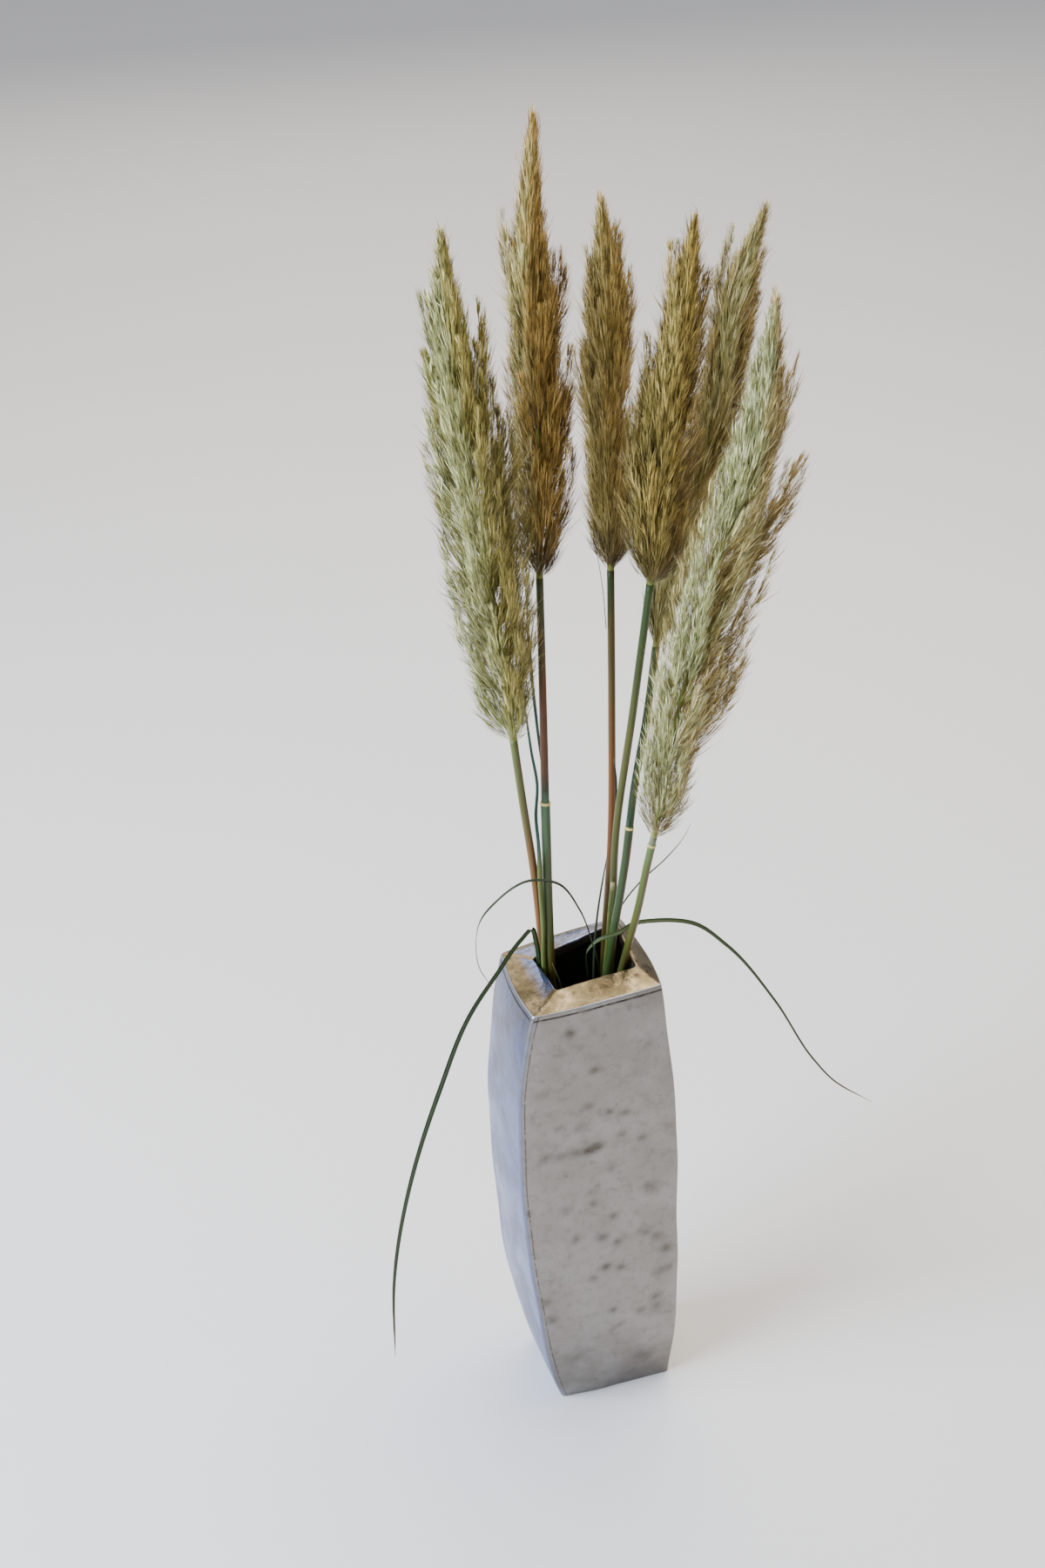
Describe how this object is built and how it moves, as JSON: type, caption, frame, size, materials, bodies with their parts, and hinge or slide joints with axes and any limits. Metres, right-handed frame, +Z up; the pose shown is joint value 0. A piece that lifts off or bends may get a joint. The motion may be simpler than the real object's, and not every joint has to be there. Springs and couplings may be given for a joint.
{
  "type": "vase of dried pampas grass",
  "caption": "Tall hand-built square-sided vase in a silvery lustre, holding stems of half-dried pampas grass with feathery plumes and long narrow leaves.",
  "frame": {"origin": "middle of the vase's foot, on the surface it stands on", "axes": "+Z up; the vase's broad front faces -Y and its narrow left side faces -X"},
  "size_m": [0.4474, 0.2073, 1.1411],
  "materials": {
    "silver_lustre": "silvery metallic lustre over fired clay, satin and mottled on the sides, burnished on the lid",
    "stem_green": "smooth grass stem, green going to orange brown",
    "leaf_green": "thin grass leaf with a pale midrib",
    "plume_straw": "fine silky hairs in pointed locks"
  },
  "bodies": {
    "root": {"vase": "silver_lustre", "stem_1": "stem_green", "stem_2": "stem_green", "stem_3": "stem_green", "stem_4": "stem_green", "stem_5": "stem_green", "stem_6": "stem_green", "plume_1": "plume_straw", "plume_2": "plume_straw", "plume_3": "plume_straw", "plume_4": "plume_straw", "plume_5": "plume_straw", "plume_6": "plume_straw", "leaf_long_left": "leaf_green", "leaf_long_right": "leaf_green", "leaf_loop": "leaf_green", "leaf_back_right": "leaf_green", "leaf_upright": "leaf_green", "leaf_sheathed": "leaf_green", "leaf_stem_2": "leaf_green", "leaf_stem_3": "leaf_green", "leaf_stem_4": "leaf_green", "leaf_stem_5": "leaf_green", "leaf_curl": "leaf_green", "leaf_inside": "leaf_green", "sheath_cut": "leaf_green"}
  },
  "joints": []
}
